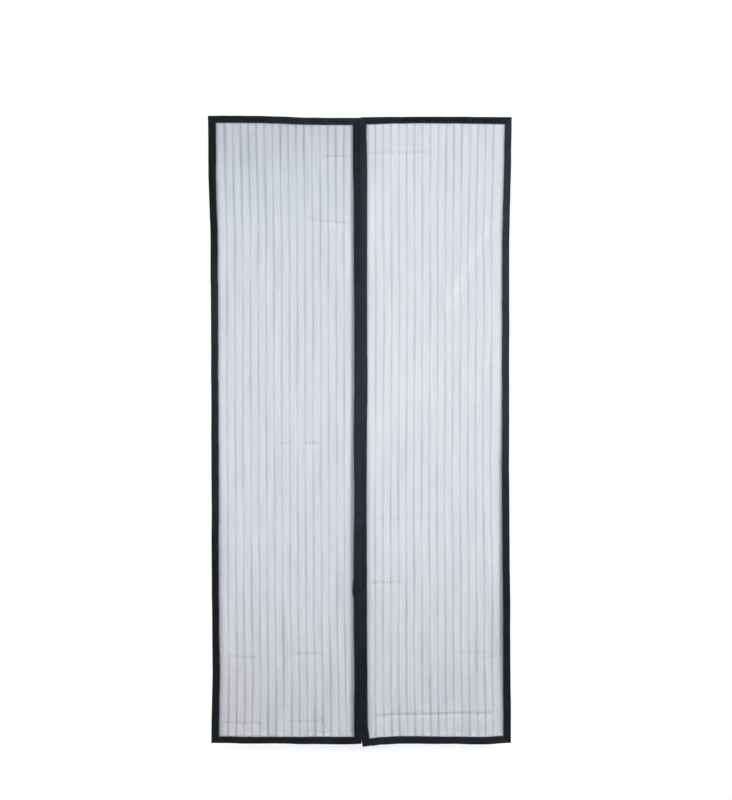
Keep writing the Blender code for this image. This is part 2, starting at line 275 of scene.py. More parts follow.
class BindingLook(bpy.types.PropertyGroup):
    """Sizes and colours of the folded tape and its sewing."""

    tape_width: metres("Binding width", "Width of a plain binding after folding", 0.0235)
    tape_thickness: metres("Tape thickness", "Thickness of the woven tape", 0.0006)
    leg_depth: metres("Leg depth", "From the middle of the net to the middle of a leg", 0.0011)
    pocket_depth: metres("Pocket depth", "From a magnet's middle to that of its tape", 0.00165)
    fold_radius: metres("Fold radius", "Radius of the rounded fold along the edge", 0.0012)
    nesting: metres("Nesting", "How far the closing folds tuck past each other", 0.0005)
    back_extra: metres("Back extra", "How much further the back leg of a tape reaches", 0.0018)
    puff: metres("Puff", "How far the tape stands out between fold and seam", 0.00035)
    seam_inset: metres("Seam inset", "From the tape's inner edge to the row of stitches", 0.003)
    lap: metres("Corner lap", "How far an upright tape laps over the level one", 0.0025)
    row_step: metres("Row step", "Distance between the rows of a tape's mesh", 0.005)
    weave_spacing: metres("Weave spacing", "Distance from rib to rib of the tape's weave", 0.0011)
    stitch_pitch: metres("Stitch pitch", "Distance from stitch to stitch", 0.0040)
    stitch_length: metres("Stitch length", "Length of thread that shows of a stitch", 0.0032)
    thread_width: metres("Thread width", "Width of the sewing thread", 0.0005)
    tape_colour: tone("Tape", "Colour of the black tape", "#15181C")
    worn_colour: tone("Worn tape", "Colour of the tape where it is rubbed", "#2B3138")
    thread_colour: tone("Sewing thread", "Colour of the sewing thread", "#24282E")


class FixingLook(bpy.types.PropertyGroup):
    """Sizes and colours of the looped fixing strips on the back."""

    width: metres("Strip width", "Width of a fixing strip", 0.020)
    inset: metres("Strip inset", "From the panel's edge to the strip", 0.002)
    foot: metres("Strip foot", "From the middle of the net to the strip's sewn face", 0.00175)
    selvedge: metres("Selvedge", "Width of the plain woven edge beside the loops", 0.0018)
    ground: metres("Ground", "Thickness of the strip's woven ground", 0.0004)
    pile: metres("Pile", "Height of the loops over the ground", 0.0008)
    row_step: metres("Row step", "Distance between the rows of a strip's mesh", 0.005)
    stitch_pitch: metres("Stitch pitch", "Distance from stitch to stitch", 0.0050)
    loop_colour: tone("Loops", "Colour of the nylon loops", "#1A1A1C")
    ground_colour: tone("Ground colour", "Colour of the woven ground", "#0E0E10")


class MagnetLook(bpy.types.PropertyGroup):
    """Places and colour of the magnet strips."""

    length: metres("Magnet length", "Length of one magnet strip", 0.180)
    lowest: metres("Lowest magnet", "From the bottom edge to the first magnet", 0.0385)
    count: IntProperty(name="Magnets", description="Magnets in a closing binding", default=10)
    rubber_colour: tone("Magnet rubber", "Colour of the magnet rubber", "#2E2A27")


class StageLook(bpy.types.PropertyGroup):
    """Camera, light and floor."""

    view_across: metres("View across", "Where the camera looks along the doorway", 0.01675)
    view_height: metres("View height", "Height of the camera", 1.16106)
    view_distance: metres("View distance", "From the camera to the screen", 12.0)
    view_span: metres("View span", "Height of the picture where the screen hangs", 2.68)
    floor_width: metres("Floor width", "Width of the oval floor along the doorway", 1.90)
    floor_depth: metres("Floor depth", "Size of the oval floor from front to back", 1.40)
    floor_forward: metres("Floor forward", "From the screen to the middle of the floor", 0.10)
    key_power: watts("Key light", "Power of the soft light at the upper right", 30.0)
    overhead_power: watts("Overhead light", "Power of the broad light over the floor", 58.0)
    floor_colour: tone("Floor", "Colour of the painted floor", "#FBFBFA")


def settings(name):
    """The scene's property group of this name."""
    return getattr(bpy.context.scene, f"insect_screen_{name}")


# Cloth


def smooth(share):
    """0 up to 0, 1 from 1, and level at both ends."""
    share = np.clip(share, 0, 1)
    return share * share * (3 - 2 * share)


def bell(distance):
    """1 at the middle, falling to about a third at 1 and to nothing by 3."""
    return np.exp(-distance * distance)


def through(points, share):
    """Runs smoothly from each point to the next, level at every point."""
    places, values = np.array(points, float).T
    share = np.clip(share, places[0], places[-1])
    step = np.clip(np.searchsorted(places, share, side="right") - 1, 0, len(places) - 2)
    part = (share - places[step]) / (places[step + 1] - places[step])
    return values[step] + (values[step + 1] - values[step]) * smooth(part)


def waver(place, wavelength, seed, count=None):
    """A line wavering between about -1 and 1: four sines, each shorter and weaker than the
    one before, with seeded phases. With a count it gives that many lines, one row for each."""
    random = np.random.default_rng(seed)
    phases = random.uniform(0, 2 * np.pi, (count or 1, 4))
    rates = np.array([1, 1.7, 2.9, 4.6])
    weights = np.array([0.45, 0.28, 0.17, 0.10])
    phases = phases.reshape(count, *[1] * np.ndim(place), 4) if count else phases[0]
    turns = 2 * np.pi * np.asarray(place)[..., None] / wavelength * rates
    return (np.sin(turns + phases) * weights).sum(-1)


def closing_width(panel):
    """A closing binding is its magnet pocket, the step beside it and a sewn margin."""
    cut = settings("cut")
    return cut.pocket_width + cut.pocket_slope + panel.sewn_margin


def border():
    """Width along a panel's outer side that hangs flat: the widest binding and a margin."""
    widest = max(settings("binding").tape_width, *(closing_width(panel) for panel in PANELS))
    return widest + settings("cut").border_margin


def hang(panel, across, up, depth):
    """Puts flat points where the hung cloth has them.

    Sideways and upwards a point moves by what its two nearest edges stand out, shared by its
    distance from them. Backwards it moves by a slow swing of the closing edge and by soft
    folds, sine across the panel, which die out towards the top and at both sides.
    """
    cut = settings("cut")
    width, height, edge = cut.panel_width, cut.panel_height, border()
    share_across, share_up = across / width, up / height
    side = MM * through(panel.side_edge, share_up) + cut.edge_waver * waver(up, 0.31, panel.seed)
    closing = MM * through(panel.closing_edge, share_up)
    outwards = side + (closing - side) * share_across
    bottom = MM * through(panel.bottom_edge, share_across)
    bottom = bottom + cut.edge_waver * waver(across, 0.19, panel.seed + 1)
    top = MM * through(panel.top_edge, share_across)
    top = top + cut.edge_waver * waver(across, 0.23, panel.seed + 2)
    rise = bottom + (top - bottom) * share_up

    field = np.clip((across - edge) / (width - edge), 0, 1)
    fall = np.clip(1 - up / (height - cut.plain_end), 0, 1)
    sway = cut.closing_sway * np.sin(2 * np.pi * fall) * field**2
    waves = np.sin(2 * np.pi * (cut.folds_across * field + panel.fold_start))
    folds = cut.fold_depth * fall**0.7 * np.sin(np.pi * field) * waves
    x = panel.direction * (width - across + outwards + cut.closing_gap / 2)
    return np.stack([x, depth + sway + folds, up + rise + cut.hem_height], axis=-1)


# Meshes


def grid_quads(wide, long):
    """Quads of a grid whose point [i][j] has number i * long + j."""
    number = np.arange(wide * long).reshape(wide, long)
    corners = [number[:-1, :-1], number[1:, :-1], number[1:, 1:], number[:-1, 1:]]
    return np.stack(corners, axis=-1).reshape(-1, 4)


def shell(front, back):
    """Closes two grids of points that lie face to face into one solid skin: the front grid, the
    back grid turned over, and a rim of quads round the border. Gives (points, quads)."""
    wide, long = front.shape[:2]
    quads, number = grid_quads(wide, long), np.arange(wide * long).reshape(wide, long)
    round_it = np.concatenate(
        [number[:-1, 0], number[-1, :-1], number[:0:-1, -1], number[0, :0:-1]]
    )
    after = np.roll(round_it, -1)
    rim = np.stack([after, round_it, round_it + number.size, after + number.size], axis=-1)
    points = np.concatenate([front.reshape(-1, 3), back.reshape(-1, 3)])
    return points, np.concatenate([quads, quads[:, ::-1] + number.size, rim])


def facing_out(points, faces):
    """Turns all faces round if they enclose a negative volume."""
    first, volume = points[faces[:, 0]], 0.0
    for k in range(1, faces.shape[1] - 1):
        turn = np.cross(points[faces[:, k]], points[faces[:, k + 1]])
        volume += np.einsum("ij,ij->", first, turn)
    return faces if volume > 0 else faces[:, ::-1]


def new_object(name, data):
    """An object of the data, in the scene."""
    made = bpy.data.objects.new(name, data)
    bpy.context.scene.collection.objects.link(made)
    return made


def new_mesh(name, points, faces, material, marks):
    """A mesh of the points and faces. Each of the marks holds a value for every point, or for
    those of one skin where both skins have the same."""
    mesh = bpy.data.meshes.new(name)
    mesh.from_pydata(points, [], faces)
    for mark, values in marks.items():
        layer = mesh.attributes.new(mark, "FLOAT", "POINT")
        layer.data.foreach_set("value", np.resize(values, len(points)).astype(np.float32))
    mesh.materials.append(material)
    return mesh


def make_piece(name, points, faces, material, slot, uv, marks=None, node=None):
    """Makes an object of the points and faces. uv is its cloth map, given as the marks are. The
    piece stands for the node, if there is one."""
    faces = facing_out(points, faces)
    mesh = new_mesh(name, points, faces, material, marks or {})
    uv = np.resize(uv, (len(points), 2))
    layer = mesh.uv_layers.new(name="Cloth")
    layer.uv.foreach_set("vector", uv[faces.ravel()].astype(np.float32).ravel())
    mesh.shade_smooth()
    mesh.set_sharp_from_angle(angle=np.radians(50))
    piece = new_object(name, mesh)
    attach(piece, "root")
    if node:
        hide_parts(node)
        check_place(piece, node)
    return piece


def check_place(piece, node, most=0.006):
    """Raises if a piece's box strays from the box of the node that it stands for."""
    corners = np.array([corner[:] for corner in piece.bound_box])
    box = np.stack([corners.min(0), corners.max(0)])
    stray = np.abs(box - np.array(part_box(node))).max()
    if stray > most:
        raise RuntimeError(f"{piece.name} strays {stray * 1000:.1f} mm from {node}")


def steps(start, end, step):
    """Evenly spaced places from start to end, about a step apart."""
    return np.linspace(start, end, max(2, int(round((end - start) / step)) + 1))


# Materials


def add_node(tree, kind, inputs=None, **choices):
    """Adds a node of a kind of ShaderNode with its choices, and gives its outputs. Each of the
    inputs is a value for the socket, or the output that is linked into it."""
    node = tree.nodes.new(f"ShaderNode{kind}")
    for name, choice in choices.items():
        setattr(node, name, choice)
    for socket, given in (inputs or {}).items():
        if isinstance(given, bpy.types.NodeSocket):
            tree.links.new(given, node.inputs[socket])
        else:
            node.inputs[socket].default_value = given
    return node.outputs


def new_material(name):
    """A material with an empty node tree, and what adds nodes to it: (material, add)."""
    material = bpy.data.materials.new(name)
    material.use_nodes = True
    material.node_tree.nodes.clear()
    return material, partial(add_node, material.node_tree)


def tinted(colour, factor=1.0):
    """A colour made lighter or darker, as a socket takes it."""
    return (*(factor * part for part in colour[:3]), 1.0)


def to_threads(add, spacing, axes=(0, 1)):
    """How far a point of the cloth map lies from the middle of the nearest thread, in metres,
    for the upright threads (axis 0) and the level ones (axis 1)."""
    place = add("SeparateXYZ", {0: add("UVMap", uv_map="Cloth")[0]})
    half = spacing / 2
    return [add("Math", {0: place[axis], 1: half}, operation="PINGPONG")[0] for axis in axes]


def finished(material, add, mix, bump, finish):
    """Ends a material: its colour lies between two, mix is (factor, colour, other colour), its
    surface is raised, bump is (height, strength, distance), and the shader has the finish."""
    colour = add("Mix", dict(zip((0, 6, 7), mix)), data_type="RGBA")[2]
    raised = add("Bump", dict(zip(("Height", "Strength", "Distance"), bump)))[0]
    shader = add("BsdfPrincipled", {"Base Color": colour, "Normal": raised, **finish})[0]
    add("OutputMaterial", {"Surface": shader})
    return material


def woven_net():
    """Polyester monofilament net, plain woven and heat set.

    The eye sees pale blue threads with open air between them, a denser, duller line where the
    thick yarns of a stripe lie side by side, and greyer threads where they are dusty and where
    shade is painted.
    """
    look = settings("net")
    material, add = new_material("Woven polyester net")
    half_thread = add("Attribute", attribute_name="half_thread")["Fac"]
    stripe = add("Attribute", attribute_name="stripe")["Fac"]
    dust = add("Attribute", attribute_name="dust")["Fac"]
    warp, weft = to_threads(add, look.thread_spacing)
    nearest = add("Math", {0: warp, 1: weft}, operation="MINIMUM")[0]
    thread = add("Math", {0: nearest, 1: half_thread}, operation="LESS_THAN")[0]

    # Uneven heat setting leaves soft patches a hand's width across
    surface = add("TexCoord")["Object"]
    patches = add(
        "TexNoise", {"Vector": surface, "Scale": 9.0, "Detail": 3.0, "Roughness": 0.55}
    )["Fac"]
    darker, lighter = tinted(look.thread_colour, 0.93), tinted(look.thread_colour, 1.06)
    colour = add("Mix", {0: patches, 6: darker, 7: lighter}, data_type="RGBA")[2]
    # The stripe yarns' own colour, and a greyer colour for dusty thread and for painted shade
    for share, other in ((stripe, look.stripe_colour), (dust, look.dust_and_shade_colour)):
        colour = add("Mix", {0: share, 6: colour, 7: tinted(other)}, data_type="RGBA")[2]
    rounded = add(
        "Bump", {"Height": nearest, "Strength": 0.35, "Distance": 0.0002}, invert=True
    )[0]
    threads = add("BsdfPrincipled", {
        "Base Color": colour, "Normal": rounded, "Roughness": 0.62, "Specular IOR Level": 0.25,
    })[0]
    air = add("BsdfTransparent")[0]
    both = add("MixShader", {0: thread, 1: air, 2: threads})[0]
    add("OutputMaterial", {"Surface": both})
    return material


def woven_tape():
    """Polyester binding tape, plain woven on a narrow loom and dyed black.

    The eye sees a matt blue-black cloth with fine ribs, a little paler where the fold and the
    edges are rubbed, and slightly uneven where the dye took less.
    """
    look = settings("binding")
    material, add = new_material("Woven polyester tape")
    # Real ribs lie about 0.6 mm apart, and they are drawn nearly twice as coarse to show
    warp, weft = to_threads(add, look.weave_spacing)
    weave = add("Math", {0: warp, 1: weft}, operation="ADD")[0]
    surface = add("TexCoord")["Object"]
    # Clouds of dye, about 40 mm apart
    dye = add(
        "TexNoise", {"Vector": surface, "Scale": 24.0, "Detail": 4.0, "Roughness": 0.6}
    )["Fac"]
    # Lint and fibre ends, about 2 mm apart
    fibres = add(
        "TexNoise", {"Vector": surface, "Scale": 520.0, "Detail": 2.0, "Roughness": 0.7}
    )["Fac"]
    # Each of these lightens the cloth by its own share
    wear = add("Attribute", attribute_name="worn")["Fac"]
    for source, share in ((dye, 1.0), (fibres, 0.22), (weave, 130.0)):
        wear = add("Math", {0: source, 1: share, 2: wear}, operation="MULTIPLY_ADD")[0]
    rough = add("MapRange", {"Value": fibres, "To Min": 0.74, "To Max": 0.9})[0]
    height = add("Math", {0: weave, 1: 1400.0, 2: fibres}, operation="MULTIPLY_ADD")[0]
    return finished(
        material, add,
        mix=(wear, tinted(look.tape_colour), tinted(look.worn_colour)),
        bump=(height, 0.5, 0.00025),
        finish={
            "Roughness": rough, "Specular IOR Level": 0.06,
            "Sheen Weight": 0.02, "Sheen Roughness": 0.5,
        },
    )


def spun_thread():
    """Spun polyester sewing thread, three plies twisted together.

    The eye sees short black strokes, a touch smoother than the tape, with slanting plies.
    """
    look = settings("binding")
    material, add = new_material("Spun polyester thread")
    # The map's first axis runs along the stitch in metres and its second once round the thread,
    # and with three plies a rib comes every 0.7 mm
    place = add("SeparateXYZ", {0: add("UVMap", uv_map="Cloth")[0]})
    around = add("Math", {0: place[0], 1: 1 / 0.0007, 2: place[1]}, operation="MULTIPLY_ADD")[0]
    ply = add("Math", {0: around, 1: 0.5}, operation="PINGPONG")[0]
    factor = add("Math", {0: ply, 1: 2.0}, operation="MULTIPLY")[0]
    return finished(
        material, add,
        mix=(factor, tinted(look.thread_colour, 0.6), tinted(look.thread_colour, 1.25)),
        bump=(ply, 0.5, 0.0001),
        finish={"Roughness": 0.6, "Specular IOR Level": 0.3},
    )


def looped_tape():
    """Nylon loop tape: a woven ground with a brushed pile of fine loops.

    The eye sees a deep black, fuzzy band that scatters light, between two smooth woven edges.
    """
    look = settings("fixing")
    material, add = new_material("Looped nylon tape")
    pile = add("Attribute", attribute_name="pile")["Fac"]
    surface = add("TexCoord")["Object"]
    # Clumps of loops about 1.2 mm apart
    loops = add(
        "TexVoronoi", {"Vector": surface, "Scale": 850.0, "Randomness": 0.9}
    )["Distance"]
    # Streaks where the pile is brushed over, about 20 mm apart
    brushed = add(
        "TexNoise", {"Vector": surface, "Scale": 60.0, "Detail": 4.0, "Roughness": 0.7}
    )["Fac"]
    fuzz = add("Math", {0: loops, 1: brushed}, operation="ADD")[0]
    # The ground's weave, 0.8 mm from rib to rib
    [weft] = to_threads(add, 0.0008, axes=(1,))
    weave = add("Math", {0: weft, 1: 700.0}, operation="MULTIPLY")[0]
    height = add("Math", {0: fuzz, 1: pile, 2: weave}, operation="MULTIPLY_ADD")[0]
    factor = add("Math", {0: fuzz, 1: 0.7}, operation="MULTIPLY")[0]
    return finished(
        material, add,
        mix=(factor, tinted(look.ground_colour), tinted(look.loop_colour)),
        bump=(height, 0.8, 0.0005),
        finish={"Roughness": 0.9, "Specular IOR Level": 0.2, "Sheen Weight": 0.15},
    )


def magnet_rubber():
    """Flexible magnet: rubber filled with ferrite powder, pressed into strip and cut.

    The eye sees a dense brown-black strip with faint drag lines along its length.
    """
    look = settings("magnet")
    material, add = new_material("Ferrite-filled magnet rubber")
    surface = add("TexCoord")["Object"]
    # Drag lines under a millimetre wide and some 50 mm long
    drawn = add("Mapping", {"Vector": surface, "Scale": (1500.0, 1500.0, 20.0)})[0]
    lines = add("TexNoise", {"Vector": drawn, "Scale": 1.0, "Detail": 2.0})["Fac"]
    # Grains of powder under half a millimetre across
    grains = add("TexNoise", {"Vector": surface, "Scale": 2500.0, "Detail": 1.0})["Fac"]
    factor = add("Math", {0: lines, 1: 0.5, 2: grains}, operation="MULTIPLY_ADD")[0]
    return finished(
        material, add,
        mix=(factor, tinted(look.rubber_colour, 0.7), tinted(look.rubber_colour, 1.3)),
        bump=(lines, 0.4, 0.0001),
        finish={"Roughness": 0.5, "Specular IOR Level": 0.4},
    )


def painted_floor():
    """Matt white emulsion rolled on a floor.

    The eye sees plain bright white. The paint is greyer towards the rim by as much as the
    lights add, so that the rim is as bright as the studio and doesn't show through the net.
    """
    look = settings("stage")
    material, add = new_material("Matt white paint")
    surface = add("TexCoord")["Object"]
    # Roller stipple, about 3 mm from dimple to dimple
    stipple = add("TexNoise", {"Vector": surface, "Scale": 330.0, "Detail": 2.0})["Fac"]
    white, dimple, rim = (tinted(look.floor_colour, factor) for factor in (1.0, 0.99, 0.86))
    stippled = add("Mix", {0: stipple, 6: dimple, 7: white}, data_type="RGBA")[2]
    outwards = add("Attribute", attribute_name="outwards")["Fac"]
    return finished(
        material, add,
        mix=(outwards, stippled, rim),
        bump=(stipple, 0.1, 0.0003),
        finish={"Roughness": 0.85, "Specular IOR Level": 0.3},
    )


# Net


def stripe_places(panel):
    """Where the stripes lie, from the closing edge to the outer side: every pitch from the
    first, which is counted from the closing binding."""
    look = settings("net")
    first = settings("cut").panel_width - closing_width(panel) - panel.first_stripe
    last = settings("binding").tape_width + look.stripe_margin
    return first - look.stripe_pitch * np.arange(int((first - last) / look.stripe_pitch) + 1)


def apart(places, least):
    """The places in order, to a hundredth of a millimetre, without those that lie closer than
    least to the one before."""
    places = np.unique(np.round(places, 5))
    return places[np.concatenate([[True], np.diff(places) > least])]


def net_columns(stripes):
    """Close together over each stripe and further apart in the bays between."""
    cut, look = settings("cut"), settings("net")
    start, end = look.inset, cut.panel_width - cut.pocket_width
    near = np.array([-9.5, -6.5, -4.2, -2.1, 0, 2.1, 4.2, 6.5, 9.5, 13]) / 1000
    sides = [
        steps(start, stripes[-1] - 0.011, step=0.005), steps(stripes[0] + 0.015, end, step=0.004)
    ]
    places = np.concatenate([(stripes[:, None] + near).ravel(), *sides])
    return apart(places[(places >= start) & (places <= end)], least=0.0006)


def net_rows(panel):
    """Evenly spaced, and close together along each crease."""
    cut, look = settings("cut"), settings("net")
    near = np.array([-6, -3.5, -1.6, 0, 1.6, 3.5, 6]) / 1000
    rows = [steps(look.inset, cut.panel_height - look.inset, look.row_step)]
    for crease in panel.creases:
        reach = abs(crease.rise) / 2
        rows.append(crease.up + near)
        if reach > 0.003:
            rows += [crease.up - reach + near, crease.up + reach + near]
    return apart(np.concatenate(rows), least=0.0009)


def net_field(panel, across, up):
    """1 in the open field of the net and 0 under the bindings, rising over 15 mm, and the
    distances from the side, closing, bottom and top bindings."""
    cut, tape = settings("cut"), settings("binding")
    sides = [
        across - tape.tape_width,
        cut.panel_width - closing_width(panel) - across,
        up - tape.tape_width,
        cut.panel_height - tape.tape_width - up,
    ]
    return smooth(np.minimum.reduce(sides) / 0.015), sides


def crease_lines(panel, across, up, rib):
    """How much painted shade each crease puts on the net, and how far it stands out: a narrow
    ridge along its line, with soft ends, a knot at each stripe, and a paler band below it, a
    painted highlight."""
    painted_crease_shading, raised = np.zeros(across.shape), np.zeros(across.shape)
    for crease in panel.creases:
        share = (across - crease.start) / (crease.end - crease.start)
        ends = smooth(share * 8) * smooth((1 - share) * 8)
        line = crease.up + crease.rise * (share - 0.5)
        line = line + 0.0006 * waver(across, 0.12, panel.seed + 5)
        sharp = ends * crease.sharpness
        painted_crease_shading += sharp * (0.11 + 0.26 * rib) * bell((up - line) / 0.0038)
        painted_crease_shading -= sharp * 0.045 * bell((up - line + 0.012) / 0.008)
        raised += sharp * 0.0013 * bell((up - line) / 0.004)
    return painted_crease_shading, raised


def slack_fold(panel, across, up):
    """A soft diagonal fold where the cloth was pulled: a ridge along a slanting line, from
    (start across, start up) to (end across, end up). Gives its ridge from 0 to 1."""
    ridge = np.zeros(across.shape)
    for start_across, start_up, end_across, end_up in panel.slack:
        run, fall = end_across - start_across, end_up - start_up
        length = np.hypot(run, fall)
        along = ((across - start_across) * run + (up - start_up) * fall) / length**2
        aside = ((across - start_across) * fall - (up - start_up) * run) / length
        ridge += bell(aside / 0.030) * smooth(along * 5) * smooth((1 - along) * 5)
    return ridge


def make_net(panel, material):
    """The net is a thin closed sheet over the flat cut. Its middle lies in the plane of the
    panel, bellied a little between stripes (sine squared of the place in the bay, times a
    slow wavering up the bay), and its half thickness grows over each stripe (a bell)."""
    cut, look = settings("cut"), settings("net")
    stripes = stripe_places(panel)
    columns, rows = net_columns(stripes), net_rows(panel)
    across, up = np.meshgrid(columns, rows, indexing="ij")
    share_up, share_across = up / cut.panel_height, across / cut.panel_width
    field, sides = net_field(panel, across, up)
    inside = np.minimum.reduce(sides)

    # Each column has its nearest stripe, and its place from 0 to 1 in a bay between stripes
    count = len(stripes)
    order = np.round((stripes[0] - columns) / look.stripe_pitch)
    nearest = np.clip(order, 0, count - 1).astype(int)
    offset = (columns - stripes[nearest])[:, None]
    room = np.clip((columns - stripes[-1]) / look.stripe_pitch, -1, count)
    bay = np.floor(room).astype(int) + 1
    place = (room - np.floor(room))[:, None]
    strength = 0.95 + 0.5 * waver(rows, 0.75, panel.seed + 10, count)[nearest]
    strength = np.clip(strength, 0.4, 1.4) * through(panel.stripes, rows / cut.panel_height)
    rib = bell(offset / (look.stripe_width * 0.36)) * np.ones(len(rows))
    dense = bell(offset / (look.stripe_width * 1.05))

    belly = waver(rows, 0.9, panel.seed + 20, count + 2)[bay]
    scallop = look.scallop * belly * np.sin(np.pi * place) ** 2
    painted_crease_shading, raised = crease_lines(panel, across, up, rib)
    ridge = slack_fold(panel, across, up)
    depth = field * (scallop - raised - 0.003 * ridge)

    # Threads cover more in the stripes and at both ends of the panel. How much they cover over
    # the height and between the panels is partly painted shade, and towards the closing edge the
    # net is drawn paler as painted light
    cover = through(panel.density, share_up)
    cover += 0.020 * waver(up, 0.8, panel.seed + 30) * np.sin(across * 9)
    cover -= through(panel.thinner, share_up) * share_across
    cover += 0.20 * dense * strength
    # Beside each stripe the net is drawn more open in a paler line, a painted highlight, and in
    # a bay threads bunch in streaks
    for order, aside in enumerate((-0.0065, 0.0065)):
        painted_glint = 0.3 + waver(rows, 0.7, panel.seed + 60 + order, count)[nearest]
        cover -= 0.07 * painted_glint * bell((offset - aside) / 0.0028)
    streak = waver(rows, 0.8, panel.seed + 70, count + 2)[bay]
    cover += 0.12 * np.clip(streak - 0.1, 0, 1) * bell((place - 0.5) / 0.09)
    # Each bay has its own tone, and is drawn darker on one side than the other as painted shade
    # and light of its belly
    level = waver(rows, 0.6, panel.seed + 33, count + 2)[bay]
    cover = cover + 0.024 * level + 0.09 * belly * (place - 0.5)
    # Painted shade along each crease with a painted highlight below it, and a painted highlight on
    # the crest of the slack fold
    cover = cover - 0.06 * ridge**6 + painted_crease_shading * field
    # Painted shade beside the upright tapes, reaching further out from them in the lower half,
    # and a little painted shade beside every tape
    reach = 0.0068 + 0.0044 * smooth((0.62 - share_up) / 0.4)
    painted_tape_shade = np.zeros(across.shape)
    for distance, shade in zip(sides, (panel.side_shade, panel.closing_shade)):
        painted_tape_shade += through(shade, share_up) * bell(np.maximum(distance, 0) / reach)
    cover = cover + painted_tape_shade + 0.10 * bell(inside / 0.005)
    # Where the net is dense or painted shade darkens it, it is drawn greyer, and puckers at the
    # hem are drawn paler as painted highlights
    grey_where_dense_or_shaded = 3.5 * np.clip(cover - 0.54, 0, 0.30) * (1 - dense) + 1.8 * painted_tape_shade
    pucker = waver(columns, 0.05, panel.seed + 40)[:, None] > 0.1
    hem = bell((sides[2] - 0.005) / 0.005) + 0.25 * bell((sides[3] - 0.005) / 0.005)
    cover -= 0.25 * pucker * hem * smooth(inside / 0.004) * (1 - dense)
    cover = np.clip(cover, 0.15, 0.95)
    # Two sets of threads of one width cover together 1 - (1 - width / spacing) squared
    # So the thread width carries painted shade and light as well as how densely the net is woven
    half_thread = (1 - np.sqrt(1 - cover)) * look.thread_spacing / 2
    corner = panel.dusty_corner * bell(share_across / 0.35) * smooth((0.25 - share_up) / 0.20)
    # How dusty the thread is, with the greying that painted shade brings
    dust = through(panel.dusty, share_up) + corner + grey_where_dense_or_shaded

    # The stripes lean with the cloth, and each wavers a little by itself
    side_lean = through(panel.side_lean, share_up)
    lean = side_lean + (through(panel.closing_lean, share_up) - side_lean) * share_across
    lean = MM * (lean + 0.7 * waver(rows, 0.7, panel.seed + 50, count)[nearest])
    beside = np.minimum(sides[0], sides[1])
    placed = across - panel.direction * lean * smooth(beside / 0.045) + 0.003 * ridge
    half = look.thickness / 2 + look.rib_height * rib * field
    front, back = hang(panel, placed, up, depth - half), hang(panel, placed, up, depth + half)
    return make_piece(
        f"{panel.name}_net_cloth", *shell(front, back), material, "net",
        uv=np.stack([across, up], axis=-1),
        marks={"half_thread": half_thread, "stripe": rib * strength, "dust": dust},
        node=f"{panel.name}_net",
    )


# Bindings


EDGES = ("top", "bottom", "side", "closing")
# How far from a row of stitches the tape is drawn in, and how near the closing folds come to
# each other, in metres
SEAM_REACH = 0.0011
LEAST_GAP = 0.00008


def edge_facts(panel, edge):
    """(length, tape width, widths of the tapes at its start and end) of a binding."""
    cut, tape = settings("cut"), settings("binding")
    if edge in ("top", "bottom"):
        return cut.panel_width, tape.tape_width, (tape.tape_width, closing_width(panel))
    width = closing_width(panel) if edge == "closing" else tape.tape_width
    return cut.panel_height, width, (tape.tape_width, tape.tape_width)


def to_flat(edge, along, inwards):
    """(across, up) of a point on a binding, from its way along the edge and inwards."""
    cut = settings("cut")
    return {
        "top": (along, cut.panel_height - inwards),
        "bottom": (along, inwards),
        "side": (inwards, along),
        "closing": (cut.panel_width - inwards, along),
    }[edge]


def seams(panel, edge):
    """How far inwards the rows of stitches lie: one near the tape's inner edge, and one along
    the magnet pocket, just past the step beside it."""
    cut, tape = settings("cut"), settings("binding")
    _, width, _ = edge_facts(panel, edge)
    rows = [width - tape.seam_inset]
    if edge == "closing":
        rows.append(cut.pocket_width + cut.pocket_slope + 0.0015)
    return rows


def sewn_shift(panel, edge, inwards, along):
    """How much further inwards the cloth of a binding lies where it is sewn wider. It grows from
    nothing at the fold, or at the magnet pocket, to the whole at the innermost seam."""
    length, _, _ = edge_facts(panel, edge)
    rows = seams(panel, edge)
    start = min(rows) if edge == "closing" else 0.004
    share = np.clip((inwards - start) / (max(rows) - start), 0, 1)
    seed = panel.seed * 20 + EDGES.index(edge)
    wider = MM * (through(panel.wider[edge], along / length) + 0.3 * waver(along, 0.11, seed))
    return share * wider


def magnet_gap(up):
    """1 halfway between two magnets and 0 along a magnet."""
    cut, look = settings("cut"), settings("magnet")
    highest = cut.panel_height - look.lowest - look.length
    starts = np.linspace(look.lowest, highest, look.count)
    middles = (starts[:-1] + look.length + starts[1:]) / 2
    nearest = np.abs(up[..., None] - middles).min(-1)
    return bell(nearest / 0.006)


